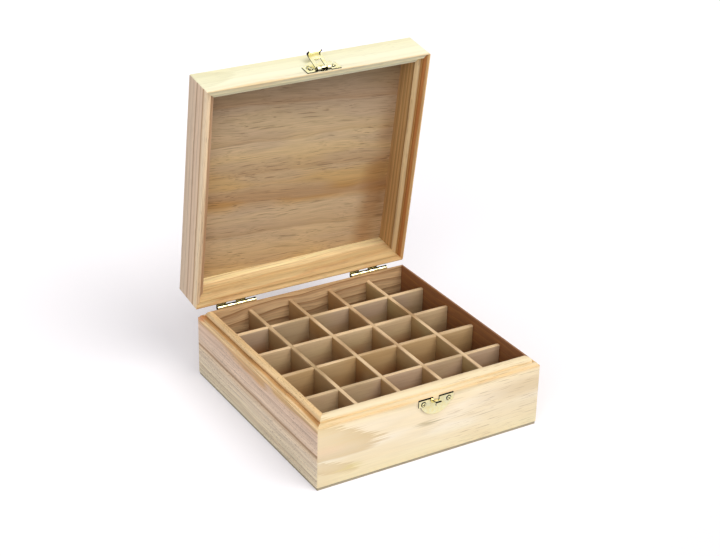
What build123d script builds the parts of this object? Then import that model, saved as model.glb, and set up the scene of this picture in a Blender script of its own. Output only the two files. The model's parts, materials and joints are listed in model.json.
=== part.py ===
from build123d import *
import os
from math import asin, cos, degrees, radians, sin

# A lidded pine box with a grid of thin dividers that makes square cells for small bottles.
# The walls are mitred, their rims are moulded so that lid and base nest, the lid swings on two
# brass hinges behind the box, and a brass hasp on the lid drops over a hook on the base.
# Millimetres, +Z up, the front towards -Y, the origin in the middle of the underside.
# The lid is drawn shut and the hasp is drawn closed. Both are then turned open.

os.makedirs("parts", exist_ok=True)

# Box
box_width = 184.0
box_depth = 184.0
wall_thickness = 8.6
shoulder_height = 48.8
bottom_thickness = 2.4
bottom_inset = 0.7
lid_height = 29.3
lid_panel_thickness = 4.6
lid_panel_lap = 4.2
panel_gap = 0.1
corner_radius = 1.2
top_edge_radius = 0.8

# Moulded rim, from the outer face inward: a flat shoulder, a small quarter round, a sloping
# ledge, and a larger quarter round that takes up the rest of the wall
rim_shoulder = 1.0
outer_round_radius = 2.2
ledge_width = 1.2
groove_depth = 0.5
rim_gap = 0.3

# Divider grid
dividers_each_way = 4
divider_thickness = 2.8
divider_height = 47.0
edge_cell_width = 30.0
divider_end_gap = 0.2
slot_gap = 0.1

# Hinges
lid_open_angle = 81.3
hinge_end_inset = 33.2
hinge_row_shift = 1.8
hinge_length = 33.0
hinge_knuckles = 4
hinge_standoff = 4.2
hinge_rise = 0.8
hinge_leaf_thickness = 0.85
hinge_leaf_height = 12.0
hinge_leaf_corner = 1.4
hinge_pin_radius = 1.1
hinge_screw_spacing = 20.0
hinge_screw_edge = 5.6

# Hasp, its plate on the lid and its catch on the base
latch_shift = 2.2
latch_sheet = 0.8
latch_plate_width = 28.0
latch_plate_side = 9.3
latch_plate_height = 15.2
latch_plate_rise = 1.7
catch_plate_width = 28.6
catch_plate_side = 5.9
catch_plate_height = 13.7
catch_plate_rise = 0.2
plate_shoulder = 1.8
hasp_width = 11.4
hasp_window_width = 5.2
hasp_window_length = 10.6
hasp_length = 17.1
hasp_lip_length = 3.7
hasp_lip_bend = 116.0
hasp_closed_lean = 6.0
hasp_swing = 157.0
hasp_notch_depth = 3.0
latch_pin_radius = 0.75
latch_pin_rise = 3.3
catch_notch_width = 5.2
catch_notch_depth = 3.6
catch_hook_width = 4.6
catch_hook_reach = 4.4
catch_hook_lip = 2.9
latch_screw_spacing = 18.4
latch_screw_edge = 4.6
catch_screw_spacing = 20.7
catch_screw_edge = 3.8

# Small brass screws
screw_head_radius = 2.1
screw_head_height = 1.0
screw_shank_radius = 0.8
screw_length = 5.0

# Running gaps of the metalwork
pin_gap = 0.05
knuckle_gap = 0.2
moving_gap = 0.3
screw_gap = 0.05

# Worked out from the sizes above
inner_width = box_width - 2 * wall_thickness
inner_depth = box_depth - 2 * wall_thickness
inner_round_radius = wall_thickness - rim_shoulder - outer_round_radius - ledge_width
ledge_height = shoulder_height + outer_round_radius
rim_height = ledge_height + inner_round_radius
lid_top = shoulder_height + lid_height
lid_seat = lid_top - lid_panel_thickness
hinge_radius = hinge_pin_radius + pin_gap + hinge_leaf_thickness
hinge_axis_y = box_depth / 2 + hinge_standoff
hinge_axis_z = shoulder_height + hinge_rise
knuckle_radius = latch_pin_radius + pin_gap + latch_sheet
latch_axis_out = knuckle_radius + moving_gap
latch_axis_z = shoulder_height + latch_pin_rise
latch_plate_edge = shoulder_height + latch_plate_rise
catch_plate_edge = shoulder_height + catch_plate_rise
hasp_window_inner_width = hasp_window_width - 2 * knuckle_gap


def turn_about_x(y, z, angle):
    """The movement that turns a piece about a line along X through (y, z)."""
    return Location((0, y, z)) * Location((0, 0, 0), (angle, 0, 0)) * Location((0, -y, -z))


lid_turn = turn_about_x(hinge_axis_y, hinge_axis_z, -lid_open_angle)
hasp_turn = turn_about_x(-box_depth / 2 - latch_axis_out, latch_axis_z, -hasp_swing)


def on_base(plane):
    """A drawing plane on the base, which stays where it is."""
    return plane


def on_lid(plane):
    """A drawing plane on the lid, carried along as the lid turns open."""
    return Plane(lid_turn * plane.location)


def on_hasp(plane):
    """A drawing plane on the hasp, which folds back on the open lid."""
    return Plane(lid_turn * hasp_turn * plane.location)


def save(piece, name):
    """Label a finished piece and write it out."""
    piece.part.label = name
    export_step(piece.part, f"parts/{name}.step")


# Walls

side_directions = {
    "front": Vector(0, -1, 0),
    "back": Vector(0, 1, 0),
    "left": Vector(-1, 0, 0),
    "right": Vector(1, 0, 0),
}


def base_wall_section():
    """Section of a base wall: X from the outer face inward, Y up."""
    round_start = rim_shoulder + outer_round_radius
    bead_start = round_start + ledge_width
    with BuildSketch() as section:
        with BuildLine():
            Line((0, bottom_thickness), (0, shoulder_height))
            Line((0, shoulder_height), (rim_shoulder, shoulder_height))
            CenterArc((round_start, shoulder_height), outer_round_radius, 180, -90)
            Line((round_start, ledge_height), (bead_start, ledge_height - groove_depth))
            Line((bead_start, ledge_height - groove_depth), (bead_start, ledge_height))
            CenterArc((wall_thickness, ledge_height), inner_round_radius, 180, -90)
            Line((wall_thickness, rim_height), (wall_thickness, bottom_thickness))
            Line((wall_thickness, bottom_thickness), (0, bottom_thickness))
        make_face()
    return section.sketch


def lid_wall_section():
    """Section of a lid wall: hollows that clear the base's rim, and a rebate for the top panel."""
    round_start = rim_shoulder + outer_round_radius
    lip_height = shoulder_height + rim_gap
    hollow_start = round_start + ledge_width - rim_gap
    hollow_radius = outer_round_radius + rim_gap
    rebate_start = wall_thickness - lid_panel_lap
    # The lip meets the small hollow where the hollow is as low as the lip
    hollow_foot = degrees(asin(rim_gap / hollow_radius))
    with BuildSketch() as section:
        with BuildLine():
            Line((0, lip_height), (0, lid_top - top_edge_radius))
            CenterArc((top_edge_radius, lid_top - top_edge_radius), top_edge_radius, 180, -90)
            Line((top_edge_radius, lid_top), (rebate_start, lid_top))
            Line((rebate_start, lid_top), (rebate_start, lid_seat))
            Line((rebate_start, lid_seat), (wall_thickness, lid_seat))
            Line((wall_thickness, lid_seat), (wall_thickness, rim_height + rim_gap))
            CenterArc((wall_thickness, ledge_height), inner_round_radius + rim_gap, 90, 90)
            Line((hollow_start, ledge_height), (hollow_start, ledge_height + rim_gap))
            Line((hollow_start, ledge_height + rim_gap), (round_start, ledge_height + rim_gap))
            small_hollow = CenterArc(
                (round_start, shoulder_height), hollow_radius, 90, 90 - hollow_foot
            )
            Line(small_hollow @ 1, (0, lip_height))
        make_face()
    return section.sketch


def screw_pair(centre, spacing, height):
    """Places of two screws side by side on a face."""
    return [(centre - spacing / 2, height), (centre + spacing / 2, height)]


front_face = Plane(origin=(0, -box_depth / 2, 0), x_dir=(1, 0, 0), z_dir=(0, -1, 0))
back_face = Plane(origin=(0, box_depth / 2, 0), x_dir=(-1, 0, 0), z_dir=(0, 1, 0))
hinge_half_spacing = box_width / 2 - hinge_end_inset
hinge_centres = [hinge_row_shift - hinge_half_spacing, hinge_row_shift + hinge_half_spacing]
hinge_edge_drop = hinge_radius - hinge_leaf_thickness

catch_screw_points = screw_pair(
    latch_shift, catch_screw_spacing, catch_plate_edge - catch_screw_edge
)
latch_screw_points = screw_pair(
    latch_shift, latch_screw_spacing, latch_plate_edge + latch_screw_edge
)


def leaf_screw_points(centre, direction):
    """Screws of one leaf on the back face, above the pin (direction 1) or below it (-1)."""
    height = hinge_axis_z + direction * (hinge_edge_drop + hinge_screw_edge)
    return screw_pair(-centre, hinge_screw_spacing, height)


def hinge_screw_points(direction):
    """Screws of both hinges, above the pins (direction 1) or below them (-1)."""
    return [point for centre in hinge_centres for point in leaf_screw_points(centre, direction)]


wall_holes = {
    ("base", "front"): (front_face, catch_screw_points),
    ("lid", "front"): (front_face, latch_screw_points),
    ("base", "back"): (back_face, hinge_screw_points(-1)),
    ("lid", "back"): (back_face, hinge_screw_points(1)),
}


def mitred_wall(half, side, section, place):
    """A wall of the base or the lid, run along its side, mitred at both ends and drilled."""
    outward = side_directions[side]
    upright = side in ("left", "right")
    half_span = (box_width if upright else box_depth) / 2
    half_length = (box_depth if upright else box_width) / 2
    middle = Plane(
        origin=outward * half_span,
        x_dir=-outward,
        z_dir=(-outward).cross(Vector(0, 0, 1)),
    )
    with BuildPart() as wall:
        with BuildSketch(place(middle)):
            add(section())
        extrude(amount=half_length, both=True)
        for end in (-1, 1):
            along = middle.z_dir * end
            corner = outward * half_span + along * half_length
            split(
                bisect_by=place(Plane(origin=corner, z_dir=along - outward)),
                keep=Keep.BOTTOM,
            )
        with BuildSketch(place(Plane.XY)):
            RectangleRounded(box_width, box_depth, corner_radius)
        extrude(amount=lid_top, mode=Mode.INTERSECT)
        if (half, side) in wall_holes:
            face, points = wall_holes[half, side]
            with BuildSketch(place(face)):
                with Locations(*points):
                    Circle(screw_shank_radius + screw_gap)
            extrude(amount=-screw_length, mode=Mode.SUBTRACT)
    save(wall, f"{half}_{side}_wall")


for side in side_directions:
    mitred_wall("base", side, base_wall_section, on_base)
    mitred_wall("lid", side, lid_wall_section, on_lid)

# Plywood bottom, glued and pinned under the base walls

with BuildPart() as bottom_panel:
    with BuildSketch(Plane.XY):
        Rectangle(box_width - 2 * bottom_inset, box_depth - 2 * bottom_inset)
    extrude(amount=bottom_thickness)
save(bottom_panel, "base_bottom_panel")

# Top panel, let into the lid's rebate

panel_inset = wall_thickness - lid_panel_lap + panel_gap
with BuildPart() as top_panel:
    with BuildSketch(on_lid(Plane.XY.offset(lid_seat))):
        Rectangle(box_width - 2 * panel_inset, box_depth - 2 * panel_inset)
    extrude(amount=lid_panel_thickness)
save(top_panel, "lid_top_panel")

# Divider grid, two sets of strips slotted halfway into each other


def divider_places(inner_length):
    """Centres of the dividers: fixed cells next to the walls, equal cells between them."""
    half_span = inner_length / 2 - edge_cell_width - divider_thickness / 2
    pitch = 2 * half_span / (dividers_each_way - 1)
    return [-half_span + pitch * index for index in range(dividers_each_way)]


def divider(name, middle, strip_length, slot_places, slot_side):
    """A strip that stands on the bottom, slotted from its top (1) or its lower edge (-1)."""
    half_height = divider_height / 2
    with BuildPart() as strip:
        with BuildSketch(middle):
            with Locations((0, bottom_thickness + half_height)):
                Rectangle(strip_length - 2 * divider_end_gap, divider_height)
            slot_middle = bottom_thickness + half_height + slot_side * half_height / 2
            with Locations(*[(place, slot_middle) for place in slot_places]):
                Rectangle(divider_thickness + 2 * slot_gap, half_height, mode=Mode.SUBTRACT)
        extrude(amount=divider_thickness / 2, both=True)
    save(strip, name)


x_places = divider_places(inner_width)
y_places = divider_places(inner_depth)
for index, place in enumerate(x_places, start=1):
    divider(f"divider_x_{index}", Plane.YZ.offset(place), inner_depth, y_places, -1)
for index, place in enumerate(y_places, start=1):
    middle = Plane(origin=(0, place, 0), x_dir=(1, 0, 0), z_dir=(0, -1, 0))
    divider(f"divider_y_{index}", middle, inner_width, x_places, 1)

# Screws: plain shanks and low round heads

with BuildPart() as screw:
    with BuildSketch(Plane.XZ):
        with BuildLine():
            Polyline(
                (0, -screw_length),
                (screw_shank_radius, -screw_length),
                (screw_shank_radius, 0),
                (screw_head_radius, 0),
                (screw_head_radius, screw_head_height),
                (0, screw_head_height),
                close=True,
            )
        make_face()
    revolve(axis=Axis.Z)


def screw_set(name, face, sheet, points, place):
    """All the screws of one plate or pair of leaves, with their heads on the sheet metal."""
    with BuildPart(place(face.offset(sheet))) as screws:
        with Locations(*points):
            add(screw.part)
    save(screws, name)


screw_set("catch_screws", front_face, latch_sheet, catch_screw_points, on_base)
screw_set("latch_screws", front_face, latch_sheet, latch_screw_points, on_lid)
screw_set("hinge_base_screws", back_face, hinge_leaf_thickness, hinge_screw_points(-1), on_base)
screw_set("hinge_lid_screws", back_face, hinge_leaf_thickness, hinge_screw_points(1), on_lid)

# Hinges: each leaf is one sheet, bent out at the seam and rolled round the pin


def rolled_knuckle(sheet, pin_radius, slit_angle):
    """Section of a rolled knuckle: a ring with the slit where the sheet comes back to itself."""
    bore_radius = pin_radius + pin_gap
    with BuildSketch() as ring:
        Circle(bore_radius + sheet)
        Circle(bore_radius, mode=Mode.SUBTRACT)
        with PolarLocations(bore_radius + sheet / 2, 1, start_angle=slit_angle):
            Rectangle(2 * sheet, knuckle_gap, mode=Mode.SUBTRACT)
    return ring.sketch


def hinge_leaf(name, centre, direction, first_knuckle, place):
    """A leaf above the pin (direction 1, on the lid) or below it (-1, on the base)."""
    knuckle_pitch = hinge_length / hinge_knuckles
    knuckle_length = knuckle_pitch - knuckle_gap
    plate_middle = hinge_axis_z + direction * (hinge_edge_drop + hinge_leaf_height / 2)
    flange_middle = direction * (hinge_radius - hinge_leaf_thickness / 2)
    with BuildPart() as leaf:
        with BuildSketch(place(back_face)) as plate:
            with Locations((-centre, plate_middle)):
                Rectangle(hinge_length, hinge_leaf_height)
            far_corners = plate.vertices().group_by(Axis.Y)[-1 if direction > 0 else 0]
            chamfer(far_corners, hinge_leaf_corner)
            with Locations(*leaf_screw_points(centre, direction)):
                Circle(screw_shank_radius + screw_gap, mode=Mode.SUBTRACT)
        extrude(amount=hinge_leaf_thickness)
        for index in range(first_knuckle, hinge_knuckles, 2):
            along = centre - hinge_length / 2 + knuckle_pitch * (index + 0.5)
            section = Plane(
                origin=(along, box_depth / 2, hinge_axis_z),
                x_dir=(0, 1, 0),
                z_dir=(1, 0, 0),
            )
            with BuildSketch(place(section)):
                with Locations((hinge_standoff / 2, flange_middle)):
                    Rectangle(hinge_standoff, hinge_leaf_thickness)
                with Locations((hinge_standoff, 0)):
                    add(rolled_knuckle(hinge_leaf_thickness, hinge_pin_radius, direction * 145))
            extrude(amount=knuckle_length / 2, both=True)
    save(leaf, name)


for side, centre in zip(("left", "right"), hinge_centres):
    hinge_leaf(f"hinge_{side}_lid_leaf", centre, 1, 0, on_lid)
    hinge_leaf(f"hinge_{side}_base_leaf", centre, -1, 1, on_base)
    pin_plane = Plane(
        origin=(centre, hinge_axis_y, hinge_axis_z),
        x_dir=(0, 1, 0),
        z_dir=(1, 0, 0),
    )
    with BuildPart() as hinge_pin:
        with BuildSketch(pin_plane):
            Circle(hinge_pin_radius)
        extrude(amount=hinge_length / 2, both=True)
    save(hinge_pin, f"hinge_{side}_pin")

# Latch: a plate with one rolled knuckle in the middle, a pin, and the hasp on both its ends


def shield(width, side, height, edge, direction):
    """Plate outline: straight at the seam, short sides, a small shoulder at each and a round lobe."""
    side_end = edge + direction * side
    left, right = latch_shift - width / 2, latch_shift + width / 2
    lobe_left, lobe_right = left + plate_shoulder, right - plate_shoulder
    with BuildSketch() as outline:
        with BuildLine():
            Polyline(
                (lobe_left, side_end),
                (left, side_end),
                (left, edge),
                (right, edge),
                (right, side_end),
                (lobe_right, side_end),
            )
            ThreePointArc(
                (lobe_right, side_end),
                (latch_shift, edge + direction * height),
                (lobe_left, side_end),
            )
        make_face()
    return outline.sketch


# Section planes of the latch: X out of the front face, Y up, origin on the pin or at the height
# of the catch's upper edge
latch_pin_section = Plane(
    origin=(latch_shift, -box_depth / 2 - latch_axis_out, latch_axis_z),
    x_dir=(0, -1, 0),
    z_dir=(-1, 0, 0),
)
catch_section = Plane(
    origin=(latch_shift, -box_depth / 2, catch_plate_edge),
    x_dir=(0, -1, 0),
    z_dir=(-1, 0, 0),
)

with BuildPart() as latch_plate:
    with BuildSketch(on_lid(front_face)):
        add(
            shield(
                latch_plate_width, latch_plate_side, latch_plate_height, latch_plate_edge, 1
            )
        )
        with Locations(*latch_screw_points):
            Circle(screw_shank_radius + screw_gap, mode=Mode.SUBTRACT)
        notch_width = (hasp_width - hasp_window_inner_width) / 2 + moving_gap
        notch_middle = (hasp_window_inner_width + notch_width) / 2
        notch_depth = latch_axis_z + hasp_notch_depth - latch_plate_edge
        with Locations(*screw_pair(latch_shift, 2 * notch_middle, latch_plate_edge)):
            Rectangle(
                notch_width,
                notch_depth,
                align=(Align.CENTER, Align.MIN),
                mode=Mode.SUBTRACT,
            )
    extrude(amount=latch_sheet)
    with BuildSketch(on_lid(latch_pin_section)):
        add(rolled_knuckle(latch_sheet, latch_pin_radius, 135))
    extrude(amount=hasp_window_inner_width / 2, both=True)
save(latch_plate, "latch_plate")

with BuildPart() as latch_pin:
    with BuildSketch(on_lid(latch_pin_section)):
        Circle(latch_pin_radius)
    extrude(amount=hasp_width / 2, both=True)
save(latch_pin, "latch_pin")

# The hasp's section runs down from the pin along the outside of its knuckles, leans out a
# little, and ends in a lip that is bent back towards the catch plate
lean = radians(hasp_closed_lean)
down = Vector(sin(lean), -cos(lean))
outer = Vector(cos(lean), sin(lean))
lip_angle = lean - radians(hasp_lip_bend)
lip_direction = Vector(sin(lip_angle), -cos(lip_angle))
arm_middle = outer * (knuckle_radius - latch_sheet / 2)
arm_end = arm_middle + down * hasp_length
lip_end = arm_end + lip_direction * hasp_lip_length
window_plane = Plane(
    origin=latch_pin_section.from_local_coords(arm_middle),
    x_dir=(1, 0, 0),
    z_dir=latch_pin_section.from_local_coords(outer) - latch_pin_section.origin,
)

with BuildPart() as hasp:
    with BuildSketch(on_hasp(latch_pin_section)):
        with BuildLine() as hasp_line:
            Polyline(arm_middle, arm_end, lip_end)
            bend = hasp_line.vertices().sort_by_distance(arm_end)[0]
            fillet(bend, latch_sheet)
        trace(line_width=latch_sheet)
        add(rolled_knuckle(latch_sheet, latch_pin_radius, 30))
    extrude(amount=hasp_width / 2, both=True)
    with BuildSketch(on_hasp(window_plane)):
        with Locations((0, -hasp_window_length / 2)):
            Rectangle(hasp_window_width, hasp_window_length)
    extrude(amount=latch_sheet, both=True, mode=Mode.SUBTRACT)
    with BuildSketch(on_hasp(latch_pin_section)):
        Circle(knuckle_radius + knuckle_gap)
    extrude(amount=hasp_window_width / 2, both=True, mode=Mode.SUBTRACT)
save(hasp, "latch_hasp")

# Catch: a shield-shaped plate. A tongue at its upper edge is bent straight out and its end is
# turned down into a hook, which the hasp's window drops over

with BuildPart() as catch_plate:
    with BuildSketch(front_face):
        add(
            shield(
                catch_plate_width, catch_plate_side, catch_plate_height, catch_plate_edge, -1
            )
        )
        with Locations(*catch_screw_points):
            Circle(screw_shank_radius + screw_gap, mode=Mode.SUBTRACT)
        with Locations((latch_shift, catch_plate_edge)):
            Rectangle(
                catch_notch_width,
                catch_notch_depth,
                align=(Align.CENTER, Align.MAX),
                mode=Mode.SUBTRACT,
            )
    extrude(amount=latch_sheet)
    hook_level = latch_sheet - catch_notch_depth
    hook_end = catch_hook_reach - latch_sheet / 2
    with BuildSketch(catch_section):
        with BuildLine() as hook_line:
            Polyline(
                (latch_sheet / 2, hook_level - 2 * latch_sheet),
                (latch_sheet / 2, hook_level),
                (hook_end, hook_level),
                (hook_end, hook_level + latch_sheet / 2 - catch_hook_lip),
            )
            bends = hook_line.vertices().group_by(Axis.Y)[-1]
            fillet(bends, latch_sheet)
        trace(line_width=latch_sheet)
    extrude(amount=catch_hook_width / 2, both=True)
save(catch_plate, "catch_plate")
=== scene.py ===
import json
from math import cos, pi, radians, sin

import bpy
from mathutils import Matrix, Vector

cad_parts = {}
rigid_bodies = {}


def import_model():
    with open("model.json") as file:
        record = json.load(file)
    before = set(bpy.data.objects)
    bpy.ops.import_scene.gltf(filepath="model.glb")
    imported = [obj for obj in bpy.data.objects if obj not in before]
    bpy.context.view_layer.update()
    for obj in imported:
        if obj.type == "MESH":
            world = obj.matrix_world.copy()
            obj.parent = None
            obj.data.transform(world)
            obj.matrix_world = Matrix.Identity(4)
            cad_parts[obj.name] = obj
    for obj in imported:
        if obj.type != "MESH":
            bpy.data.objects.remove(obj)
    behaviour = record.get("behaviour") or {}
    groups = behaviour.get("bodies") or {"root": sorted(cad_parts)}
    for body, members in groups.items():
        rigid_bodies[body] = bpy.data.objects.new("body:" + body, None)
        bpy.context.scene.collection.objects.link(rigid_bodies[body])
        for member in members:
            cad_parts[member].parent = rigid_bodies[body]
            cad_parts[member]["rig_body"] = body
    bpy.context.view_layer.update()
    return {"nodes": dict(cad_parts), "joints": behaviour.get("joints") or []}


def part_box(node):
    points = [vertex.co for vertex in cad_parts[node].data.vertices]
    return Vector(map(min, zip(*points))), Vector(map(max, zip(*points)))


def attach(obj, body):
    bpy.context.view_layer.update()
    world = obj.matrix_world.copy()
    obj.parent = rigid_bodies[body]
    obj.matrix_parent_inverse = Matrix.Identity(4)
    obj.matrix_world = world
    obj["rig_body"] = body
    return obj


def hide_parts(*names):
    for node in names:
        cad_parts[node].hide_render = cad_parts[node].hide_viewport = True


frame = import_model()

# Base walls
# Four planed and sanded pine boards, bare of any varnish, mitred and glued at the corners. A
# moulding cutter has run the shoulder, the rounds and the groove of the rim along their tops.

MM = 0.001
merge_distance = 0.001 * MM
# Faces that meet at less than flat_angle become one. Edges over sharp_angle are eased, and those
# under smooth_angle are shaded round
flat_angle = radians(0.5)
sharp_angle = radians(35)
smooth_angle = radians(34)
wall_low, wall_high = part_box("base_front_wall")
half_width = wall_high.x
front_y = wall_low.y
back_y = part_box("base_back_wall")[1].y

# The pieces are described as they lie in the shut box, and those of the base stay as they are
on_base = Matrix.Identity(4)
ALONG_X = Vector((1, 0, 0))
ALONG_Y = Vector((0, 1, 0))
UP = Vector((0, 0, 1))


def srgb(hex_colour):
    """The linear colour of an sRGB hex value."""
    channels = [int(hex_colour[place:place + 2], 16) / 255 for place in (0, 2, 4)]
    linear = [c / 12.92 if c <= 0.04045 else ((c + 0.055) / 1.055) ** 2.4 for c in channels]
    return (*linear, 1.0)


def add_node(tree, kind, inputs=None, stops=None, **settings):
    """Add a node with its settings, its inputs' values or links, and a colour ramp's stops."""
    node = tree.nodes.new(kind)
    for name, value in settings.items():
        setattr(node, name, value)
    for name, value in (inputs or {}).items():
        if isinstance(value, bpy.types.NodeSocket):
            tree.links.new(value, node.inputs[name])
        else:
            node.inputs[name].default_value = value
    if stops:
        elements = node.color_ramp.elements
        while len(elements) < len(stops):
            elements.new(1.0)
        for element, (position, colour) in zip(elements, stops):
            element.position = position
            element.color = colour if isinstance(colour, tuple) else (colour, colour, colour, 1)
    return node


def select_only(piece):
    """Make one object the whole selection, as the operators need it."""
    bpy.ops.object.select_all(action="DESELECT")
    piece.select_set(True)
    bpy.context.view_layer.objects.active = piece


def eased_copy(node, name, ease_mm):
    """A CAD piece as one clean mesh with its sharp edges eased. It stands for its node."""
    piece = bpy.data.objects.new(name, frame["nodes"][node].data.copy())
    bpy.context.scene.collection.objects.link(piece)
    piece.data.materials.clear()
    select_only(piece)
    bpy.ops.object.mode_set(mode="EDIT")
    bpy.ops.mesh.select_all(action="SELECT")
    bpy.ops.mesh.remove_doubles(threshold=merge_distance)
    bpy.ops.mesh.dissolve_limited(angle_limit=flat_angle)
    bpy.ops.object.mode_set(mode="OBJECT")
    ease = piece.modifiers.new("ease", "BEVEL")
    ease.width = ease_mm * MM
    ease.segments = 2
    ease.limit_method = "ANGLE"
    ease.angle_limit = sharp_angle
    bpy.ops.object.modifier_apply(modifier=ease.name)
    bpy.ops.object.shade_smooth_by_angle(angle=smooth_angle)
    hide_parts(node)
    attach(piece, frame["nodes"][node]["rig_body"])
    return piece


def board_space(tree, turn, origin, grain, across):
    """Object coordinates in a board's own millimetres: X with the grain, Y over its width."""
    axes = Matrix((grain, across, grain.cross(across))).to_4x4()
    to_board = axes @ Matrix.Translation(-origin) @ turn.inverted()
    coordinates = add_node(tree, "ShaderNodeTexCoord")
    mapping = add_node(
        tree,
        "ShaderNodeMapping",
        {
            "Vector": coordinates.outputs["Object"],
            "Location": to_board.to_translation() / MM,
            "Rotation": to_board.to_euler(),
            "Scale": (1 / MM, 1 / MM, 1 / MM),
        },
    )
    return mapping.outputs["Vector"]


def grain_noise(tree, place, seed, size_mm, detail=2.0):
    """Noise in a board's own space, its blots as long and as wide as the size says.

    Each seed looks at its own part of the endless noise.
    """
    stretched = add_node(
        tree,
        "ShaderNodeMapping",
        {
            "Vector": place,
            "Location": (seed * 3.7, seed * 7.3, seed * 1.9),
            "Scale": (1 / size_mm[0], 1 / size_mm[1], 1 / size_mm[1]),
        },
    )
    return add_node(
        tree,
        "ShaderNodeTexNoise",
        {"Vector": stretched.outputs["Vector"], "Scale": 1.0, "Detail": detail},
    )


# Nearly all of a noise's values lie between these two
noise_low = 0.3
noise_high = 0.7


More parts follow.
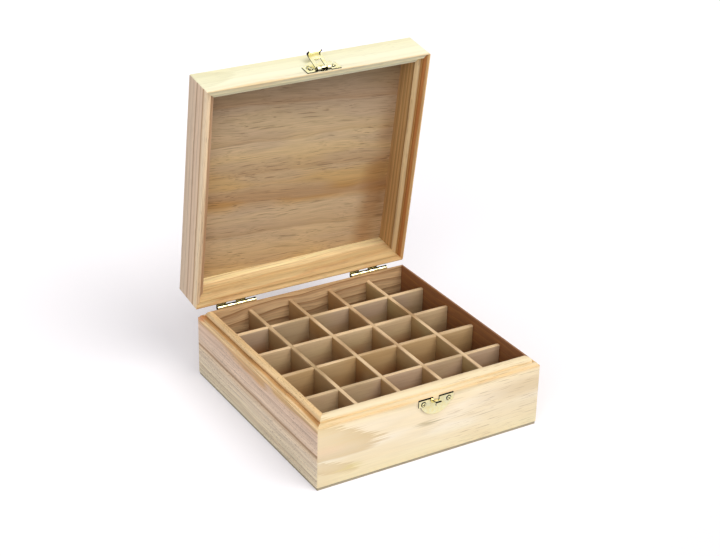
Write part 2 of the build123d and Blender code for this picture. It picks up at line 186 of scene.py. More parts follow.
def sawn_pine(
    name,
    turn,
    origin,
    grain,
    across,
    tones,
    rings,
    late,
    seed,
    wander_mm=5.0,
    ragged_mm=3.0,
    fibre=0.10,
    dashes=0.35,
    dash_colour="8A6D4A",
    dash_size=(9.0, 0.65),
    dash_zone=(-300, -299),
    dash_cover=0.4,
    blotch=None,
    inside=None,
    marks=(),
    marks_at=(0.0, 300.0),
    roughness=0.62,
):
    """Sawn and sanded pine (Pinus), open-grained and dull, its figure cut from the growth rings.

    turn, origin, grain and across place the board: how its body turns it from where it lies in the
    shut box, the point that it is measured from, and the ways its grain and its width run. tones
    are the colours over that width in millimetres. rings lists the ring systems that the board was
    cut from: height and depth of the pith, its slope to the face, its tilt in the face, the ring
    spacing, the strength, and how many rings there are. late is the colour of their dark lines.
    wander_mm is how far the rings stray, ragged_mm how far the ends of the fibres do, and fibre how
    much the fibres differ in tone. The resin canals have their strength in dashes, then their
    colour, their length and width, the stretch of the board over which they set in, and how much of
    it is free of them. blotch is a second colour in clouds, with its strength and size. inside is
    the colour that the inner side of the board turns to, with its strength and the depths where it
    begins and is full: the heartwood, and on the base's right wall partly painted shade. marks are
    single spots, where the wood is stained or painted shade lies: place, half size, colour and
    strength. marks_at is how far outwards of the origin they are centred, and how deep they reach.
    """
    material = bpy.data.materials.new(name)
    material.use_nodes = True
    tree = material.node_tree
    tree.nodes.clear()
    place = board_space(tree, turn, origin, grain, across)

    # The rings wander by a few millimetres, in waves that are longer with the grain than over it
    wander_size = (90.0, 28.0)
    wander = grain_noise(tree, place, seed, wander_size)
    centred = add_node(
        tree,
        "ShaderNodeVectorMath",
        {0: wander.outputs["Color"], 1: (0.5, 0.5, 0.5)},
        operation="SUBTRACT",
    )
    shift = add_node(
        tree,
        "ShaderNodeVectorMath",
        {0: centred.outputs["Vector"], "Scale": 2 * wander_mm},
        operation="SCALE",
    )
    grown = add_node(
        tree,
        "ShaderNodeVectorMath",
        {0: place, 1: shift.outputs["Vector"]},
        operation="ADD",
    ).outputs["Vector"]

    # Colour over the width of the board, from sapwood to heartwood
    along = add_node(tree, "ShaderNodeSeparateXYZ", {"Vector": grown})
    width_mm = tones[-1][0]
    share = add_node(
        tree,
        "ShaderNodeMapRange",
        {"Value": along.outputs["Y"], "From Min": 0.0, "From Max": width_mm},
    )
    colour = add_node(
        tree,
        "ShaderNodeValToRGB",
        {"Fac": share.outputs["Result"]},
        stops=[(place_mm / width_mm, srgb(tone)) for place_mm, tone in tones],
    ).outputs["Color"]
    stains_and_shades = []

    # The clouds, which begin at the first of these values of their noise and are full at the second
    cloud_edge = (0.42, 0.6)
    if blotch:
        stain_or_shade, strength, size_mm = blotch
        clouds = grain_noise(tree, grown, seed + 40, size_mm, 1.0)
        amount = add_node(
            tree,
            "ShaderNodeMapRange",
            {
                "Value": clouds.outputs["Fac"],
                "From Min": cloud_edge[0],
                "From Max": cloud_edge[1],
                "To Max": strength,
            },
        )
        stains_and_shades.append((amount.outputs["Result"], stain_or_shade))

    # The inner side of the board: its heartwood, and on the base's right wall partly painted shade
    if inside:
        stain_or_shade, strength, start_mm, end_mm = inside
        through = add_node(tree, "ShaderNodeSeparateXYZ", {"Vector": place})
        amount = add_node(
            tree,
            "ShaderNodeMapRange",
            {
                "Value": through.outputs["Z"],
                "From Min": -start_mm,
                "From Max": -end_mm,
                "To Max": strength,
            },
        )
        stains_and_shades.append((amount.outputs["Result"], stain_or_shade))

    # Fibres, in millimetres, drawn longer and broader than they are, so they show. Each ends a
    # little before or after the next, so what is cut across them has a ragged edge
    fibre_size = (33.0, 0.9)
    fibres = grain_noise(tree, grown, seed, fibre_size, 4.0)
    ends = add_node(
        tree,
        "ShaderNodeMapRange",
        {
            "Value": fibres.outputs["Fac"],
            "From Min": noise_low,
            "From Max": noise_high,
            "To Min": -ragged_mm,
            "To Max": ragged_mm,
        },
    )
    end_shift = add_node(tree, "ShaderNodeCombineXYZ", {"X": ends.outputs["Result"]})
    split = add_node(
        tree,
        "ShaderNodeVectorMath",
        {0: grown, 1: end_shift.outputs["Vector"]},
        operation="ADD",
    ).outputs["Vector"]

    # Each ring darkens slowly towards its outside, and ends there at a sharp line
    for height_mm, depth_mm, slope, tilt, spacing, strength, count in rings:
        axis_place = add_node(
            tree,
            "ShaderNodeMapping",
            {"Vector": split, "Location": (0, -height_mm, depth_mm), "Rotation": (0, -slope, tilt)},
        )
        from_pith = add_node(
            tree,
            "ShaderNodeVectorMath",
            {0: axis_place.outputs["Vector"], 1: (0, 1 / spacing, 1 / spacing)},
            operation="MULTIPLY",
        )
        radius = add_node(
            tree, "ShaderNodeVectorMath", {0: from_pith.outputs["Vector"]}, operation="LENGTH"
        ).outputs["Value"]
        year = add_node(tree, "ShaderNodeMath", {0: radius}, operation="FRACT")
        latewood = add_node(
            tree,
            "ShaderNodeValToRGB",
            {"Fac": year.outputs["Value"]},
            stops=[(0.0, 0.0), (0.45, 0.08), (0.8, 0.55), (0.95, 1.0), (0.995, 0.0)],
        )
        inner_years = add_node(tree, "ShaderNodeMath", {0: radius, 1: count}, operation="LESS_THAN")
        cut = add_node(
            tree,
            "ShaderNodeMath",
            {0: inner_years.outputs["Value"], 1: strength},
            operation="MULTIPLY",
        )
        amount = add_node(
            tree,
            "ShaderNodeMath",
            {0: latewood.outputs["Color"], 1: cut.outputs["Value"]},
            operation="MULTIPLY",
        )
        stains_and_shades.append((amount.outputs["Value"], late))

    # Single marks, each a soft spot, some where the wood is stained and some of painted shade. It is
    # full inside mark_core of its half size and gone at mark_edge
    mark_core = 0.4
    mark_edge = 1.3
    for spot, half_size, stain_or_shade, strength in marks:
        near = add_node(
            tree,
            "ShaderNodeMapping",
            {
                "Vector": split,
                "Location": (
                    -spot[0] / half_size[0],
                    -spot[1] / half_size[1],
                    -marks_at[0] / marks_at[1],
                ),
                "Scale": (1 / half_size[0], 1 / half_size[1], 1 / marks_at[1]),
            },
        )
        distance = add_node(
            tree, "ShaderNodeVectorMath", {0: near.outputs["Vector"]}, operation="LENGTH"
        )
        amount = add_node(
            tree,
            "ShaderNodeMapRange",
            {
                "Value": distance.outputs["Value"],
                "From Min": mark_edge,
                "From Max": mark_core,
                "To Max": strength,
            },
        )
        stains_and_shades.append((amount.outputs["Result"], stain_or_shade))

    # Paler and darker fibres
    fibre_tone = add_node(
        tree,
        "ShaderNodeMapRange",
        {
            "Value": fibres.outputs["Fac"],
            "From Min": noise_low,
            "From Max": noise_high,
            "To Min": 1 - fibre,
            "To Max": 1 + fibre,
        },
    )

    # Resin canals: short dark dashes in patches, drawn a little wider than they are, so they show.
    # They begin at the first value of dash_edge and are full at the second, and patch_edge is how
    # far a patch takes to set in
    dash_edge = (0.6, 0.7)
    patch_edge = 0.18
    patch_size = (80.0, 20.0)
    pore = grain_noise(tree, grown, seed + 9, dash_size, 1.0)
    dash = add_node(
        tree,
        "ShaderNodeMapRange",
        {
            "Value": pore.outputs["Fac"],
            "From Min": dash_edge[0],
            "From Max": dash_edge[1],
            "To Max": dashes,
        },
    )
    patches = grain_noise(tree, place, seed + 5, patch_size, 1.0)
    patch = add_node(
        tree,
        "ShaderNodeMapRange",
        {
            "Value": patches.outputs["Fac"],
            "From Min": dash_cover,
            "From Max": dash_cover + patch_edge,
        },
    )
    zone = add_node(
        tree,
        "ShaderNodeMapRange",
        {"Value": along.outputs["X"], "From Min": dash_zone[0], "From Max": dash_zone[1]},
    )
    in_zone = add_node(
        tree,
        "ShaderNodeMath",
        {0: patch.outputs["Result"], 1: zone.outputs["Result"]},
        operation="MULTIPLY",
    )
    pore_amount = add_node(
        tree,
        "ShaderNodeMath",
        {0: dash.outputs["Result"], 1: in_zone.outputs["Value"]},
        operation="MULTIPLY",
    ).outputs["Value"]
    stains_and_shades.append((pore_amount, dash_colour))

    # Every colour laid on, painted shade too, lies over the ones before it, and the fibres tone them
    # all
    for amount, stain_or_shade in stains_and_shades:
        colour = add_node(
            tree,
            "ShaderNodeMix",
            {"Factor": amount, "A": colour, "B": srgb(stain_or_shade)},
            data_type="RGBA",
        ).outputs["Result"]
    colour = add_node(
        tree,
        "ShaderNodeVectorMath",
        {0: colour, "Scale": fibre_tone.outputs["Result"]},
        operation="SCALE",
    ).outputs["Vector"]

    # The sanded surface: fibres stand up by a few hundredths of a millimetre
    fibre_height = 0.08 * MM
    relief = add_node(
        tree,
        "ShaderNodeMath",
        {0: fibres.outputs["Fac"], 1: pore_amount},
        operation="SUBTRACT",
    )
    bump = add_node(
        tree,
        "ShaderNodeBump",
        {"Height": relief.outputs["Value"], "Strength": 0.35, "Distance": fibre_height},
    )
    surface = add_node(
        tree,
        "ShaderNodeBsdfPrincipled",
        {
            "Base Color": colour,
            "Roughness": roughness,
            "IOR": 1.5,
            "Specular IOR Level": 0.35,
            "Normal": bump.outputs["Normal"],
        },
    )
    add_node(tree, "ShaderNodeOutputMaterial", {"Surface": surface.outputs["BSDF"]})
    return material


# The front board was cut just beside the pith, so two pointed flames show at its left end, and its
# right end has the grey ends of the resin canals.
front_pine = sawn_pine(
    "sanded_pine_base_front",
    on_base,
    Vector((0, front_y, 0)),
    ALONG_X,
    UP,
    tones=[(0, "FAEBC0"), (9, "FCEFCA"), (24, "FDF2DC"), (38, "FCEED4"), (46.5, "F9E8C4"),
           (49.2, "ECCC98"), (50.4, "ECD2A2"), (52.5, "EFDFBA"), (55, "EDD8AE")],
    rings=[(21.2, 24.3, 0.12, 0.17, 20.0, 0.7, 1), (-7.9, 10.8, 0.04, 0.28, 9.0, 0.55, 1)],
    late="DCC08C",
    seed=1,
    wander_mm=2.4,
    ragged_mm=9.0,
    fibre=0.04,
    dashes=0.55,
    dash_colour="B0946A",
    dash_size=(18.0, 0.55),
    dash_zone=(-15, 35),
    dash_cover=0.0,
    blotch=("F5E2BA", 0.6, (70.0, 14.0)),
    marks=[((-3, 29), (8, 2.2), "BFAE86", 0.75), ((86, 36), (46, 9), "DFC9A2", 0.75),
           ((80, 22), (40, 4), "EFE0C0", 0.5), ((-84, 30), (16, 4), "F4D8B4", 0.6),
           ((-66, 12), (9, 3), "EADB98", 0.5)],
)
back_pine = sawn_pine(
    "sanded_pine_base_back",
    on_base,
    Vector((0, back_y, 0)),
    -ALONG_X,
    UP,
    tones=[(0, "DFC69A"), (22, "E2CA9E"), (30, "DFC290"), (46, "E2C496"), (55, "DDB67C")],
    rings=[(-60, 10, 0.05, 0.03, 7.5, 0.8, 40), (-90, 10, 0.03, -0.02, 3.7, 0.35, 60)],
    late="7E5028",
    seed=2,
    wander_mm=9.0,
    fibre=0.18,
    inside=("C09C72", 0.75, 3, 6),
)
left_pine = sawn_pine(
    "sanded_pine_base_left",
    on_base,
    Vector((-half_width, 0, 0)),
    -ALONG_Y,
    UP,
    # The tones are dark at the rim's groove, as painted shade in the groove
    tones=[(0, "FCF0D2"), (10, "F8EACC"), (20, "FBEBD2"), (25.4, "F2DABA"), (27.2, "B08864"),
           (28.6, "F6DEC4"), (38, "F4DAC4"), (45.4, "F0D0B4"), (46.4, "E0B484"), (47.6, "F8DCAC"),
           (49.8, "F8D8A6"), (50.4, "D2A468"), (50.9, "AA7A44"), (51.4, "DEB47C"), (52.6, "F0D2A0"),
           (55, "EECB94")],
    rings=[(-80, 30, 0.02, 0.01, 9.5, 0.3, 40), (-140, 30, 0.01, -0.015, 4.3, 0.22, 60)],
    late="A2794E",
    seed=3,
    wander_mm=1.6,
    fibre=0.17,
    dashes=0.5,
    dash_colour="8A6440",
    dash_size=(1.8, 0.7),
    dash_cover=0.3,
    marks=[((-20, 44.8), (26, 3.8), "DDB27A", 0.7), ((8, 43.8), (13, 3.6), "D8A868", 0.7),
           ((38, 46.4), (26, 2.6), "E2BA80", 0.7), ((22, 45.5), (6, 2.2), "E8C8AE", 0.9),
           ((-12, 43.2), (9, 1.3), "C9935A", 0.6), ((-87, 49), (5, 2.0), "DC7C46", 0.55)],
)
right_pine = sawn_pine(
    "sanded_pine_base_right",
    on_base,
    Vector((half_width, 0, 0)),
    ALONG_Y,
    UP,
    tones=[(0, "E8D3A2"), (20, "EBD5A6"), (34, "E0BC86"), (46, "E2BC80"), (55, "E6C48C")],
    rings=[(-50, 20, 0.04, 0.0, 6.0, 0.5, 40)],
    late="A26E38",
    seed=4,
    # Its inner side turns dark red-brown: partly heartwood, partly painted shade, as it faces away
    # from the sun
    inside=("743C18", 0.9, 2.5, 5),
    fibre=0.14,
)

# How far the sanding has rounded the edges of the boards, in millimetres
board_ease = 0.22
for node, material in (
    ("base_front_wall", front_pine),
    ("base_back_wall", back_pine),
    ("base_left_wall", left_pine),
    ("base_right_wall", right_pine),
):
    board = eased_copy(node, node.replace("wall", "board"), board_ease)
    board.data.materials.append(material)

# Bottom
# A thin sheet of poplar plywood, glued under the walls. Only its sawn edge shows, as a thin greyish
# line under the boards.

bottom_edge = sawn_pine(
    "poplar_plywood_bottom",
    on_base,
    Vector((0, 0, 0)),
    ALONG_X,
    ALONG_Y,
    tones=[(0, "B3A78E"), (90, "BEB29A"), (184, "B3A78E")],
    rings=[(-40, 6, 0.01, 0.0, 14.0, 0.25, 40)],
    late="94866E",
    seed=5,
    roughness=0.75,
)
bottom_ease = 0.15
bottom = eased_copy("base_bottom_panel", "base_bottom_sheet", bottom_ease)
bottom.data.materials.append(bottom_edge)

# Dividers
# Eight strips of thin plywood, slotted halfway through and pushed into each other like an egg
# crate. Their faces are a plain greyish veneer, and their sawn top edges are paler.

# Veneers off different sheets, each with its lower and upper tone and a cloud. The strips that
# run front to back are browner and darker, the darkness partly painted shade, as the faces of them
# that show are turned from the sun; the others are greyer
brown_shaded_sheets = (
    ("A08658", "B49C6E", "A07A4C"),
    ("94744E", "A88A64", "9A7E54"),
    ("966C3E", "AA8450", "AE8E64"),
    ("A28254", "B29468", "A0784A"),
)
grey_sheets = (
    ("A48A70", "B29A7E", "AC946E"),
    ("AC9074", "BEA488", "B49C76"),
    ("AC8C60", "BC9E72", "B49262"),
    ("B49A70", "C6AC86", "BCA07A"),
)
strip_ease = 0.18
for direction, grain, sheets, first_seed in (
    ("x", ALONG_Y, brown_shaded_sheets, 15),
    ("y", ALONG_X, grey_sheets, 10),
):
    for number in range(1, 5):
        node = f"divider_{direction}_{number}"
        low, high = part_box(node)
        lower, upper, cloud = sheets[number % len(sheets)]
        # A strip darkens down into the box, as painted shade of the cells, and its sawn edge is its
        # palest part
        veneer = sawn_pine(
            f"basswood_plywood_{direction}_{number}",
            on_base,
            (low + high) / 2 - UP * (low.z + high.z) / 2,
            grain,
            UP,
            tones=[(0, "3A1A08"), (18, "60361A"), (30, "96683C"), (38, lower), (48.4, upper),
                   (48.9, "EBCFA4")],
            rings=[(-30, 25, 0.03, 0.0, 9.0, 0.16, 40)],
            late="8F6B45",
            seed=first_seed + number,
            wander_mm=1.5,
            fibre=0.05,
            dashes=0.2,
            blotch=(cloud, 0.7, (45.0, 30.0)),
            roughness=0.7,
        )
        name = node.replace("divider", "divider_strip")
        strip = eased_copy(node, name, strip_ease)
        strip.data.materials.append(veneer)

# Lid walls
# Pine boards like those of the base, mitred, with the mating hollows moulded on their rim and a
# rebate behind for the panel. The sides are quarter-sawn and show straight lines.

# The lid's boards too are described with the box shut, and then turned open round the hinge line
lid_joint = next(joint for joint in frame["joints"] if joint["name"] == "lid_hinge")
hinge_line = Vector(lid_joint["pos_m"])
lid_angle = radians(-lid_joint["range_deg"][0])
on_lid = (
    Matrix.Translation(hinge_line)
    @ Matrix.Rotation(lid_angle, 4, Vector(lid_joint["axis"]))
    @ Matrix.Translation(-hinge_line)
)
# The rim of the shut lid seats on the base's shoulder, at this height
lid_base = 48.8 * MM
lid_front_pine = sawn_pine(
    "sanded_pine_lid_front",
    on_lid,
    Vector((0, front_y, lid_base)),
    ALONG_X,
    UP,
    tones=[(0, "F6DEAE"), (1.6, "FBF2D0"), (8, "FBFADA"), (20, "FAF7D2"), (29.3, "F9F3C8")],
    rings=[(13, 30, 0.16, 0.06, 21.0, 0.32, 1), (60, 30, 0.03, 0.0, 8.0, 0.2, 40)],
    late="DAD3A4",
    seed=21,
    wander_mm=3.0,
    fibre=0.03,
    dashes=0.3,
    dash_colour="C5BC96",
)
lid_back_pine = sawn_pine(
    "sanded_pine_lid_back",
    on_lid,
    Vector((0, back_y, lid_base)),
    -ALONG_X,
    UP,
    tones=[(0, "CEB27E"), (6, "CAAC78"), (12, "D2B682"), (16.5, "F6DEAA"), (20, "FFF2BE"),
           (24.7, "FFF0BC"), (29.3, "EAC894")],
    rings=[(-60, 14, 0.06, 0.035, 6.1, 0.42, 40), (-110, 20, 0.03, 0.05, 3.1, 0.28, 60)],
    late="C08850",
    seed=22,
    wander_mm=3.2,
    fibre=0.14,
)
lid_left_pine = sawn_pine(
    "sanded_pine_lid_left",
    on_lid,
    Vector((-half_width, 0, lid_base)),
    -ALONG_Y,
    UP,
    tones=[(0, "FCE6C2"), (3, "FCE4C0"), (5, "F4DAB6"), (6.4, "C29872"), (8, "EED4B6"),
           (15, "E9CEB2"), (16, "C09C7C"), (17.5, "EBD2B6"), (29.3, "E1CBB0")],
    rings=[(-60, 20, 0.02, 0.0, 5.0, 0.3, 40)],
    late="A8835F",
    seed=23,
    wander_mm=1.2,
)
lid_right_pine = sawn_pine(
    "sanded_pine_lid_right",
    on_lid,
    Vector((half_width, 0, lid_base)),
    ALONG_Y,
    UP,
    # The hollow of the rim is dark, partly the wood's own red-brown and partly painted shade in it
    tones=[(0, "ECC890"), (1.5, "E2BA80"), (2.1, "B0763C"), (2.8, "A0602C"), (3.6, "BC9258"),
           (4.4, "A8743C"), (5.2, "DEC496"), (6.4, "DABC8C"), (7.0, "8A6234"), (8.2, "A48656"),
           (10, "CBA26F"), (12.5, "AF8952"), (14, "CDA574"), (16, "A98852"), (18, "CAA270"),
           (21, "AF8B58"), (24, "C69E6D"), (26, "AF8957"), (29.3, "C6A06F")],
    rings=[(-60, 20, 0.02, 0.0, 2.3, 0.35, 60)],
    fibre=0.12,
    late="8A5A30",
    seed=24,
    wander_mm=0.5,
)
for node, material in (
    ("lid_front_wall", lid_front_pine),
    ("lid_back_wall", lid_back_pine),
    ("lid_left_wall", lid_left_pine),
    ("lid_right_wall", lid_right_pine),
):
    board = eased_copy(node, node.replace("wall", "board"), board_ease)
    board.data.materials.append(material)

# Lid panel
# A wide sheet of pine-faced plywood, glued into the rebate. Its face veneer is peeled off the log,
# so the rings spread into broad bands, with many fine dark dashes along the grain.

# Its grain runs a few degrees askew to the box, and its inner face lies this many millimetres
# above the rim of the shut lid
panel_skew = radians(5.2)
panel_seat = 24.7
panel_grain = Vector((cos(panel_skew), sin(panel_skew), 0))
panel_pine = sawn_pine(
    "pine_plywood_lid_panel",
    on_lid,
    Vector((0, front_y, lid_base)),
    panel_grain,
    UP.cross(panel_grain),
    # The tones are darker towards the front wall, partly as painted shade of that wall
    tones=[(0, "9C8464"), (17, "A08A6C"), (36, "B69C7C"), (60, "D6BE96"),
           (88, "D4B684"), (106, "CCA870"), (113, "C09458"), (120, "C89E66"), (127, "D4BA94"),
           (158, "D5BB93"), (184, "C4A46E")],
    rings=[(-30, 14, 0.02, 0.0, 26.0, 0.3, 40)],
    late="A07445",
    seed=31,
    wander_mm=6.0,
    fibre=0.12,
    dashes=0.6,
    dash_colour="664A2E",
    dash_size=(24.0, 0.55),
    dash_cover=0.3,
    blotch=("BEA68C", 0.5, (60.0, 16.0)),
    # The mark at the right end is painted shade of the right wall, on the inner face only
    marks=[((84, 130), (12, 70), "A06E38", 0.6)],
    marks_at=(panel_seat, 2.5),
    roughness=0.6,
)
panel_ease = 0.15
panel = eased_copy("lid_top_panel", "lid_panel_sheet", panel_ease)
panel.data.materials.append(panel_pine)

# Hinges
# Two small brass butt hinges behind the box. Each leaf is pressed from one strip and rolled round a
# plain wire pin. The sheared edges are dull, and the pin and most of the knuckles are painted dark,
# as painted dark reflection and shade.


def rolled_brass(name, colour, roughness):
    """Brass sheet (Cu-Zn), rolled and lacquered: bright and yellow, with faint rolling marks."""
    material = bpy.data.materials.new(name)
    material.use_nodes = True
    tree = material.node_tree
    tree.nodes.clear()
    coordinates = add_node(tree, "ShaderNodeTexCoord")
    # Rolling marks and clouds of tarnish, both drawn coarser than they are, so they show
    mark_length = 3.3 * MM
    mark_width = 0.4 * MM
    mark_depth = 0.02 * MM
    tarnish_size = 2.9 * MM
    marks_place = add_node(
        tree,
        "ShaderNodeMapping",
        {
            "Vector": coordinates.outputs["Object"],
            "Scale": (1 / mark_length, 1 / mark_width, 1 / mark_width),
        },
    )
    marks = add_node(
        tree,
        "ShaderNodeTexNoise",
        {"Vector": marks_place.outputs["Vector"], "Scale": 1.0, "Detail": 2.0},
    )
    tarnish = add_node(
        tree,
        "ShaderNodeTexNoise",
        {"Vector": coordinates.outputs["Object"], "Scale": 1 / tarnish_size, "Detail": 3.0},
    )
    shine = add_node(
        tree,
        "ShaderNodeMapRange",
        {
            "Value": marks.outputs["Fac"],
            "From Min": noise_low,
            "From Max": noise_high,
            "To Min": roughness - 0.05,
            "To Max": roughness + 0.08,
        },
    )
    tint = add_node(
        tree,
        "ShaderNodeValToRGB",
        {"Fac": tarnish.outputs["Fac"]},
        stops=[(0.35, srgb(colour[0])), (0.7, srgb(colour[1]))],
    )
    bump = add_node(
        tree,
        "ShaderNodeBump",
        {"Height": marks.outputs["Fac"], "Strength": 0.2, "Distance": mark_depth},
    )
    surface = add_node(
        tree,
        "ShaderNodeBsdfPrincipled",
        {
            "Base Color": tint.outputs["Color"],
            "Metallic": 1.0,
            "Roughness": shine.outputs["Result"],
            "Normal": bump.outputs["Normal"],
        },
    )
    add_node(tree, "ShaderNodeOutputMaterial", {"Surface": surface.outputs["BSDF"]})
    return material


bright_brass = rolled_brass("rolled_brass", ("FFFBD2", "FFF4B4"), 0.2)
# Nearly black brass: the dull cut edges, and painted shade and dark reflection on the hardware
edge_and_shade_brass = rolled_brass("brass_cut_edge_and_painted_shade", ("1E1A0E", "14100A"), 0.55)


def bright_and_dark_sheet(piece, turn, dark_where):
    """Bright brass, but dark where the rule says so of a face's normal and middle, turn undone: cut
    edges, and painted shade and dark reflection.
    """
    piece.data.materials.append(bright_brass)
    piece.data.materials.append(edge_and_shade_brass)
    back = turn.inverted()
    for face in piece.data.polygons:
        dark = dark_where(back.to_3x3() @ face.normal, back @ face.center)
        face.material_index = 1 if dark else 0


def score(piece, turn, place, across):
    """Cut a piece's faces along a plane, so that a band of them can have its own finish."""
    select_only(piece)
    bpy.ops.object.mode_set(mode="EDIT")
    bpy.ops.mesh.select_all(action="SELECT")
    bpy.ops.mesh.bisect(
        plane_co=turn @ place, plane_no=turn.to_3x3() @ across, threshold=merge_distance
    )
    bpy.ops.object.mode_set(mode="OBJECT")


metal_ease = 0.12
# Only a band of the knuckles, facing front and up, stays bright; the rest is painted dark, as the
# dark reflection and shade along them. A face that is nearer to the pin's line than hinge_knuckle
# is on a knuckle
bright_side = Vector((0, -0.9, 0.44))
hinge_knuckle = 2.2 * MM


def hinge_is_dark(normal, middle):
    """With the lid open: a leaf's sheared ends, its side on the lid's wood, and the knuckles but for
    their bright band, as painted dark reflection and shade.
    """
    from_pin = middle - hinge_line
    reach = Vector((0, from_pin.y, from_pin.z)).length
    knuckle_back = normal.y < 0.3 and normal.dot(bright_side) < 0.84
    return abs(normal.x) > 0.5 or (knuckle_back and (reach < hinge_knuckle or normal.z > 0.5))


for side in ("left", "right"):
    for half in ("base", "lid"):
        node = f"hinge_{side}_{half}_leaf"
        leaf = eased_copy(node, f"hinge_{side}_{half}_strap", metal_ease)
        bright_and_dark_sheet(leaf, on_base, hinge_is_dark)
    pin = eased_copy(f"hinge_{side}_pin", f"hinge_{side}_wire", metal_ease)
    # The pin is painted dark, as the shade between the knuckles
    pin.data.materials.append(edge_and_shade_brass)

# Catch plate
# Brass sheet with a round lower edge, screwed to the front of the base. A tongue at its top is bent
# out and turned down, and the window of the hasp drops over it.

catch = eased_copy("catch_plate", "catch_shield", metal_ease)
# The band along the top of the catch is as high as the sheet is thick
sheet_edge = 0.8 * MM
edge_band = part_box("catch_plate")[1] - UP * sheet_edge
# The band is scored off, and is painted dark as the dark reflection and shadow along the top
score(catch, on_base, edge_band, UP)


def catch_is_dark(normal, middle):
    """The catch's cut sides, and, as painted dark reflection and shade, the band along its top, the
    bend of its hook and its upper edges.
    """
    top_band = middle.z > edge_band.z
    hook_bend = normal.z > 0.3 and normal.y < -0.3
    upper_edge = normal.z > 0.7 and middle.y > front_y - sheet_edge
    return abs(normal.x) > 0.5 or top_band or hook_bend or upper_edge


bright_and_dark_sheet(catch, on_base, catch_is_dark)

# Latch plate, its pin and the hasp
# The plate sits on the front of the lid, and its middle is rolled round the pin. The hasp hangs on
# the same pin by its two arms and ends in a finger lip.

# The plate is dark on its cut sides, and painted dark on its lower edges as their dark reflection
# and shade
plate = eased_copy("latch_plate", "latch_shield", metal_ease)
bright_and_dark_sheet(
    plate,
    on_lid,
    lambda normal, middle: abs(normal.y) < 0.75 and (abs(normal.x) > 0.5 or normal.z < -0.7),
)
latch_pin = eased_copy("latch_pin", "latch_wire", metal_ease)
# The pin is painted dark, as the shade in the knuckles
latch_pin.data.materials.append(edge_and_shade_brass)
hasp = eased_copy("latch_hasp", "hasp_strap", metal_ease)
pin_low, pin_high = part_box("latch_pin")
pin_centre = (pin_low + pin_high) / 2
hasp_low, hasp_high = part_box("latch_hasp")
# A band is scored along both sides of the hasp, and it is painted dark on the lip and its bend,
# as dark reflection and shade
side_band = 1.6 * sheet_edge
band_edge = (hasp_high.x - hasp_low.x) / 2 - side_band
for way in (-1, 1):
    score(hasp, on_base, pin_centre + ALONG_X * way * band_edge, ALONG_X)
# A face with its middle further from the pin's line than lip_reach is on the lip or its bend, and
# one nearer than hasp_knuckle is on a knuckle
lip_reach = 9 * MM
hasp_knuckle = 2 * MM


def hasp_is_dark(normal, middle):
    """The cut sides of the hasp, and as painted dark reflection and shade the bands at the sides of
    its lip and its knuckles from below.
    """
    from_pin = middle - pin_centre
    reach = Vector((0, from_pin.y, from_pin.z)).length
    lip_side = abs(from_pin.x) > band_edge and reach > lip_reach
    under_knuckle = reach < hasp_knuckle and normal.z < -0.2
    return lip_side or under_knuckle or abs(normal.x) > 0.5


bright_and_dark_sheet(hasp, on_base, hasp_is_dark)

# Screws
# Small brass wood screws with domed heads and a pressed cross recess. They hold the hinges, the
# catch and the latch plate.

# Sizes of a head and its recess are in millimetres
head_radius = 2.1
head_height = 1.0
dome_radius = (head_radius**2 + head_height**2) / (2 * head_height)

bpy.ops.object.select_all(action="DESELECT")
bpy.ops.mesh.primitive_uv_sphere_add(
    segments=32, ring_count=48, radius=dome_radius * MM, location=(0, 0, 0)
)
master_screw = bpy.context.object
master_screw.data.transform(Matrix.Translation((0, 0, (head_height - dome_radius) * MM)))
bpy.ops.object.mode_set(mode="EDIT")
bpy.ops.mesh.select_all(action="SELECT")
bpy.ops.mesh.bisect(
    plane_co=(0, 0, 0),
    plane_no=(0, 0, -1),
    clear_outer=True,
    use_fill=True,
    threshold=merge_distance,
)
bpy.ops.object.mode_set(mode="OBJECT")
recess_length = 2.3
recess_width = 0.5
recess_depth = 0.65
cutter_height = 1.0
for turn_angle in (0, pi / 2):
    bpy.ops.object.select_all(action="DESELECT")
    bpy.ops.mesh.primitive_cube_add(size=1, location=(0, 0, 0))
    cutter = bpy.context.object
    cutter.data.transform(
        Matrix.Translation((0, 0, (head_height + cutter_height / 2 - recess_depth) * MM))
        @ Matrix.Rotation(turn_angle, 4, "Z")
        @ Matrix.Diagonal((recess_length * MM, recess_width * MM, cutter_height * MM, 1))
    )
    cut = master_screw.modifiers.new("recess", "BOOLEAN")
    cut.object = cutter
    cut.solver = "EXACT"
    select_only(master_screw)
    bpy.ops.object.modifier_apply(modifier=cut.name)
    bpy.data.objects.remove(cutter)
bpy.ops.object.shade_smooth_by_angle(angle=smooth_angle)
# The rim of the head is painted dark as its dark reflection, and the recess as the shade in it,
# and the dome between them is bright
dark_rim = 0.74 * head_radius
recess_floor = head_height - recess_depth + 0.05
for face in master_screw.data.polygons:
    in_rim = Vector(face.center[:2]).length / MM > dark_rim
    in_recess = face.center.z / MM < recess_floor or abs(face.normal.z) < 0.3
    face.material_index = 1 if in_rim or in_recess else 0


# The outermost corners of a group of screws, to within top_band, lie on the tops of the heads. In
# order of x, two that follow each other are on one head if they are less than head_step apart
top_band = 0.1 * MM
head_step = 3 * MM


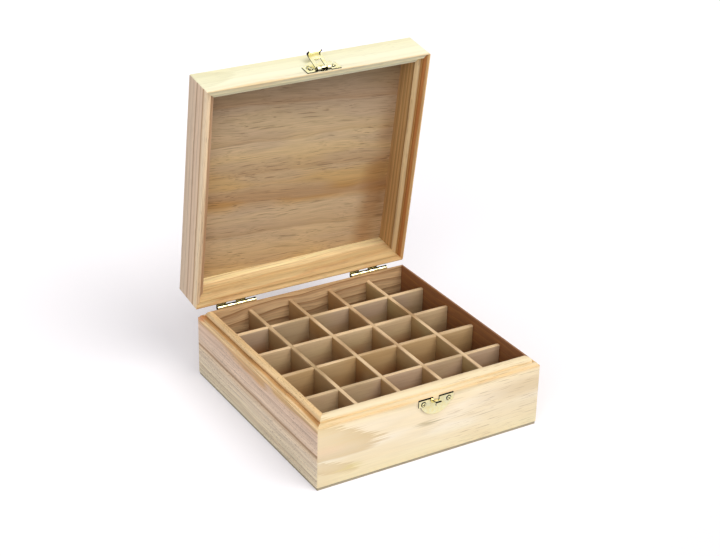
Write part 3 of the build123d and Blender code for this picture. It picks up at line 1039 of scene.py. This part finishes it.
def screw_seats(node, turn):
    """Which way a group's screws face, and where their heads seat, with the box shut."""
    corners = [turn.inverted() @ vertex.co for vertex in frame["nodes"][node].data.vertices]
    middle_y = sum(corner.y for corner in corners) / len(corners)
    outward = 1 if middle_y > 0 else -1
    outermost = max(corner.y * outward for corner in corners)
    tops = [corner for corner in corners if corner.y * outward > outermost - top_band]
    groups = []
    for corner in sorted(tops, key=lambda point: point.x):
        if groups and corner.x - groups[-1][-1].x < head_step:
            groups[-1].append(corner)
        else:
            groups.append([corner])
    seats = []
    for group in groups:
        x = (group[0].x + group[-1].x) / 2
        z = (min(corner.z for corner in group) + max(corner.z for corner in group)) / 2
        seats.append(Vector((x, outward * (outermost - head_height * MM), z)))
    return outward, seats


for node, turn, body in (
    ("catch_screws", on_base, "base"),
    ("latch_screws", on_lid, "lid"),
    ("hinge_base_screws", on_base, "base"),
    ("hinge_lid_screws", on_lid, "lid"),
):
    outward, seats = screw_seats(node, turn)
    for number, seat in enumerate(seats, start=1):
        # Each head of a group stops 50 degrees further round than the one before
        head_turn = radians(35 + 50 * number)
        screw = bpy.data.objects.new(f"{node}_{number}", master_screw.data.copy())
        bpy.context.scene.collection.objects.link(screw)
        screw.data.transform(
            turn
            @ Matrix.Translation(seat)
            @ Matrix.Rotation(radians(-90 * outward), 4, "X")
            @ Matrix.Rotation(head_turn, 4, "Z")
        )
        screw.data.materials.append(bright_brass)
        screw.data.materials.append(edge_and_shade_brass)
        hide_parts(node)
        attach(screw, body)
bpy.data.objects.remove(master_screw)

# Floor and light
# A plain white floor, a soft sun from the upper right in front, a softer lamp from the left, and a
# pale room round it all.


def seen_rays(tree, *kinds):
    """1 for rays of these kinds, by which the eye sees a surface, and 0 for those that light it."""
    light_path = add_node(tree, "ShaderNodeLightPath")
    seen = light_path.outputs[kinds[0]]
    for kind in kinds[1:]:
        seen = add_node(
            tree,
            "ShaderNodeMath",
            {0: seen, 1: light_path.outputs[kind]},
            operation="MAXIMUM",
        ).outputs["Value"]
    return seen


floor_size = 12
bpy.ops.object.select_all(action="DESELECT")
bpy.ops.mesh.primitive_plane_add(size=floor_size, location=(0, 0, 0))
floor = bpy.context.object
floor.name = "floor"
floor_paint = bpy.data.materials.new("white_paper_floor")
floor_paint.use_nodes = True
tree = floor_paint.node_tree
tree.nodes.clear()
paper = add_node(
    tree, "ShaderNodeBsdfDiffuse", {"Color": srgb("DCDCDC"), "Roughness": 1.0}
)
# The eye sees the lit floor as just white, and the shadow on it stays
floor_glow = 0.30
floor_seen = seen_rays(tree, "Is Camera Ray", "Is Glossy Ray")
glow_strength = add_node(
    tree, "ShaderNodeMath", {0: floor_seen, 1: floor_glow}, operation="MULTIPLY"
)
backlight = add_node(
    tree,
    "ShaderNodeEmission",
    {"Color": srgb("FBF7FF"), "Strength": glow_strength.outputs["Value"]},
)
both = add_node(
    tree, "ShaderNodeAddShader", {0: paper.outputs["BSDF"], 1: backlight.outputs["Emission"]}
)
add_node(tree, "ShaderNodeOutputMaterial", {"Surface": both.outputs["Shader"]})
floor.data.materials.append(floor_paint)

room = bpy.data.worlds.new("pale_room")
bpy.context.scene.world = room
room.use_nodes = True
tree = room.node_tree
tree.nodes.clear()
room_light = 0.42
room_seen = seen_rays(tree, "Is Camera Ray", "Is Glossy Ray", "Is Transmission Ray")
ambient = add_node(
    tree, "ShaderNodeBackground", {"Color": srgb("F6F3FA"), "Strength": room_light}
)
white = add_node(tree, "ShaderNodeBackground", {"Color": (1, 1, 1, 1), "Strength": 1.0})
mixed = add_node(
    tree,
    "ShaderNodeMixShader",
    {"Fac": room_seen, 1: ambient.outputs["Background"], 2: white.outputs["Background"]},
)
add_node(tree, "ShaderNodeOutputWorld", {"Surface": mixed.outputs["Shader"]})

for lamp_name, energy, softness, colour, towards in (
    ("soft_sun", 1.75, 42, (1.0, 0.975, 0.95), (0.29, -0.52, 0.80)),
    ("front_fill", 1.0, 50, (1.0, 0.98, 0.95), (-0.55, -0.72, 0.42)),
):
    lamp_data = bpy.data.lights.new(lamp_name, "SUN")
    lamp_data.energy = energy
    lamp_data.angle = radians(softness)
    lamp_data.color = colour
    lamp = bpy.data.objects.new(lamp_name, lamp_data)
    bpy.context.scene.collection.objects.link(lamp)
    lamp.rotation_euler = Vector(towards).to_track_quat("Z", "Y").to_euler()

# Camera
# Fitted to the photograph: it stands in front of the left corner, looks down at the box, and is
# tipped a little to one side.

image_width = 720
yaw = radians(31.324)
pitch = radians(26.454)
roll = radians(1.395)
camera_place = Vector((-0.5568, -0.9055, 0.6292))
focal_pixels = 1644.8

forward = Vector((sin(yaw) * cos(pitch), cos(yaw) * cos(pitch), -sin(pitch)))
level_right = Vector((cos(yaw), -sin(yaw), 0))
level_up = level_right.cross(forward)
camera_right = level_right * cos(roll) + level_up * sin(roll)
camera_up = level_up * cos(roll) - level_right * sin(roll)
camera_data = bpy.data.cameras.new("camera")
camera_data.sensor_width = 36
camera_data.lens = focal_pixels / image_width * camera_data.sensor_width
camera_data.clip_start = 0.05
camera = bpy.data.objects.new("camera", camera_data)
bpy.context.scene.collection.objects.link(camera)
camera.matrix_world = (
    Matrix.Translation(camera_place)
    @ Matrix((camera_right, camera_up, -forward)).transposed().to_4x4()
)
bpy.context.scene.camera = camera
bpy.context.scene.view_settings.view_transform = "Standard"
